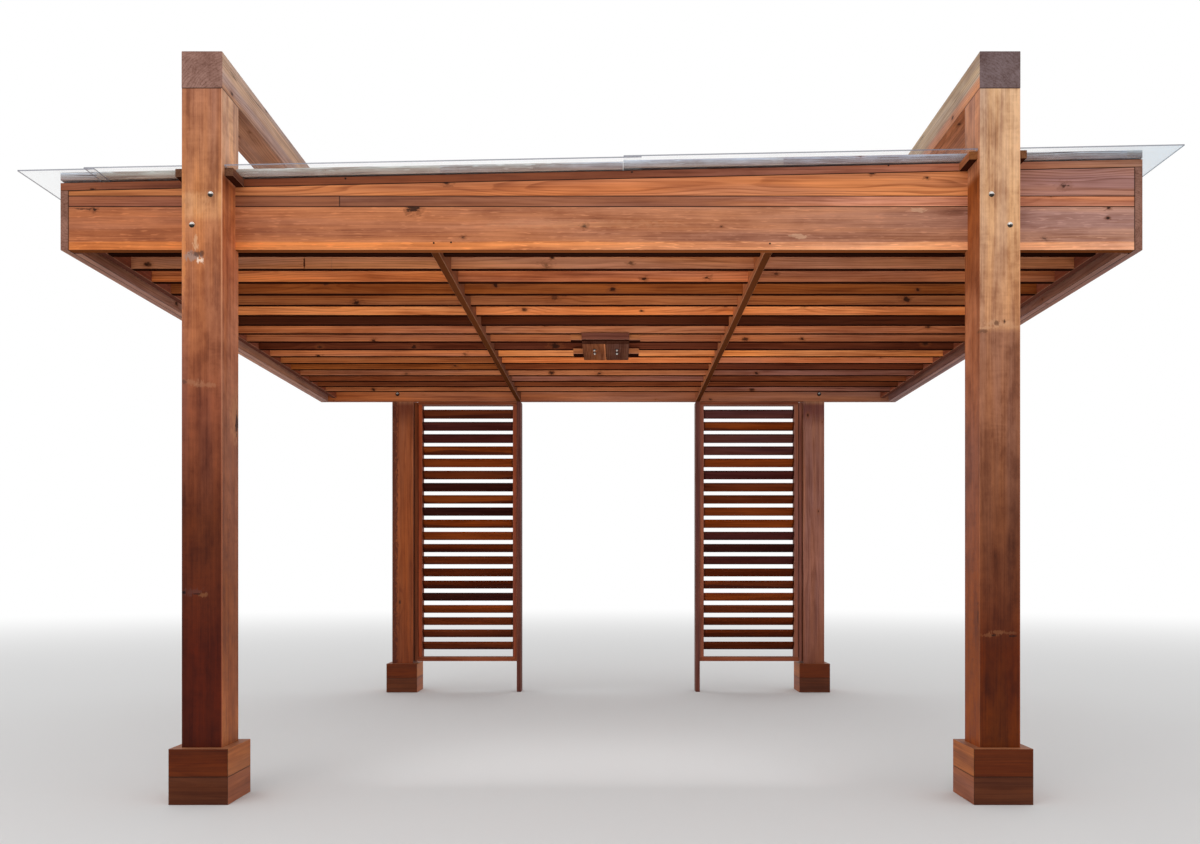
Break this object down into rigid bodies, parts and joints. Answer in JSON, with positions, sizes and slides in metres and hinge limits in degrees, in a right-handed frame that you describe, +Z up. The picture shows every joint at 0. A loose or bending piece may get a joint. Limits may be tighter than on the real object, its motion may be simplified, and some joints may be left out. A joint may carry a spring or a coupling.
{
  "type": "wooden pergola",
  "caption": "Free-standing timber pergola with a slatted ceiling, a shallow lean-to roof of clear sheets, heavy beams above it and louvred screens at the rear.",
  "frame": {"origin": "on the ground, in the middle of the frame in width and depth", "axes": "+X to the right seen from the front, +Y from the front to the rear screens, +Z up"},
  "size_m": [5.47, 4.456, 3.512],
  "materials": {
    "stained_post_timber": "red-brown oil stain on dressed cedar, weathered paler above head height",
    "weathered_beam_timber": "weathered stain on dressed cedar with dark end grain",
    "stained_plinth_boards": "deep red-brown oil stain on cedar boards",
    "stained_screen_boards": "deep red-brown oil stain on cedar boards",
    "stained_ceiling_boards": "orange-brown oil stain on cedar boards of uneven tone",
    "stained_cap_boards": "dark oil stain on cedar boards",
    "stained_rim_boards": "orange-brown oil stain on cedar boards with paler sapwood bands",
    "weathered_batten_boards": "bare cedar weathered to silver grey",
    "clear_sheet": "clear flat sheet with a light haze of dust"
  },
  "bodies": {
    "root": {"ceiling_slats_left": "stained_ceiling_boards", "ceiling_slats_middle": "stained_ceiling_boards", "ceiling_slats_right": "stained_ceiling_boards", "front_battens": "weathered_batten_boards", "front_cap": "stained_cap_boards", "front_left_post": "stained_post_timber", "front_plinths": "stained_plinth_boards", "front_post_cleats": "stained_cap_boards", "front_right_post": "stained_post_timber", "front_rim_board": "stained_rim_boards", "front_rim_strip": "stained_rim_boards", "front_rim_taper": "stained_rim_boards", "left_rim_upper": "stained_rim_boards", "left_screen_louvres": "stained_screen_boards", "left_top_beam": "weathered_beam_timber", "mount_cross_boards": "stained_ceiling_boards", "mount_header": "stained_ceiling_boards", "mount_planks": "stained_ceiling_boards", "rear_battens": "weathered_batten_boards", "rear_cap": "stained_cap_boards", "rear_left_post": "stained_post_timber", "rear_plinths": "stained_plinth_boards", "rear_post_cleats": "stained_cap_boards", "rear_right_post": "stained_post_timber", "rear_rim_board": "stained_rim_boards", "rear_rim_taper": "stained_rim_boards", "rib_lower_boards": "stained_ceiling_boards", "rib_upper_boards": "stained_ceiling_boards", "right_rim_upper": "stained_rim_boards", "right_screen_louvres": "stained_screen_boards", "right_top_beam": "weathered_beam_timber", "roof_sheet_left": "clear_sheet", "roof_sheet_middle": "clear_sheet", "roof_sheet_right": "clear_sheet", "screen_bottom_rails": "stained_screen_boards", "screen_mullions": "stained_screen_boards", "screen_nailers": "stained_screen_boards", "screen_stiles": "stained_screen_boards", "screen_top_rails": "stained_screen_boards", "side_caps": "stained_cap_boards", "side_ledgers": "stained_ceiling_boards", "side_rim_boards": "stained_rim_boards", "side_rim_doublers": "stained_rim_boards"}
  },
  "joints": []
}
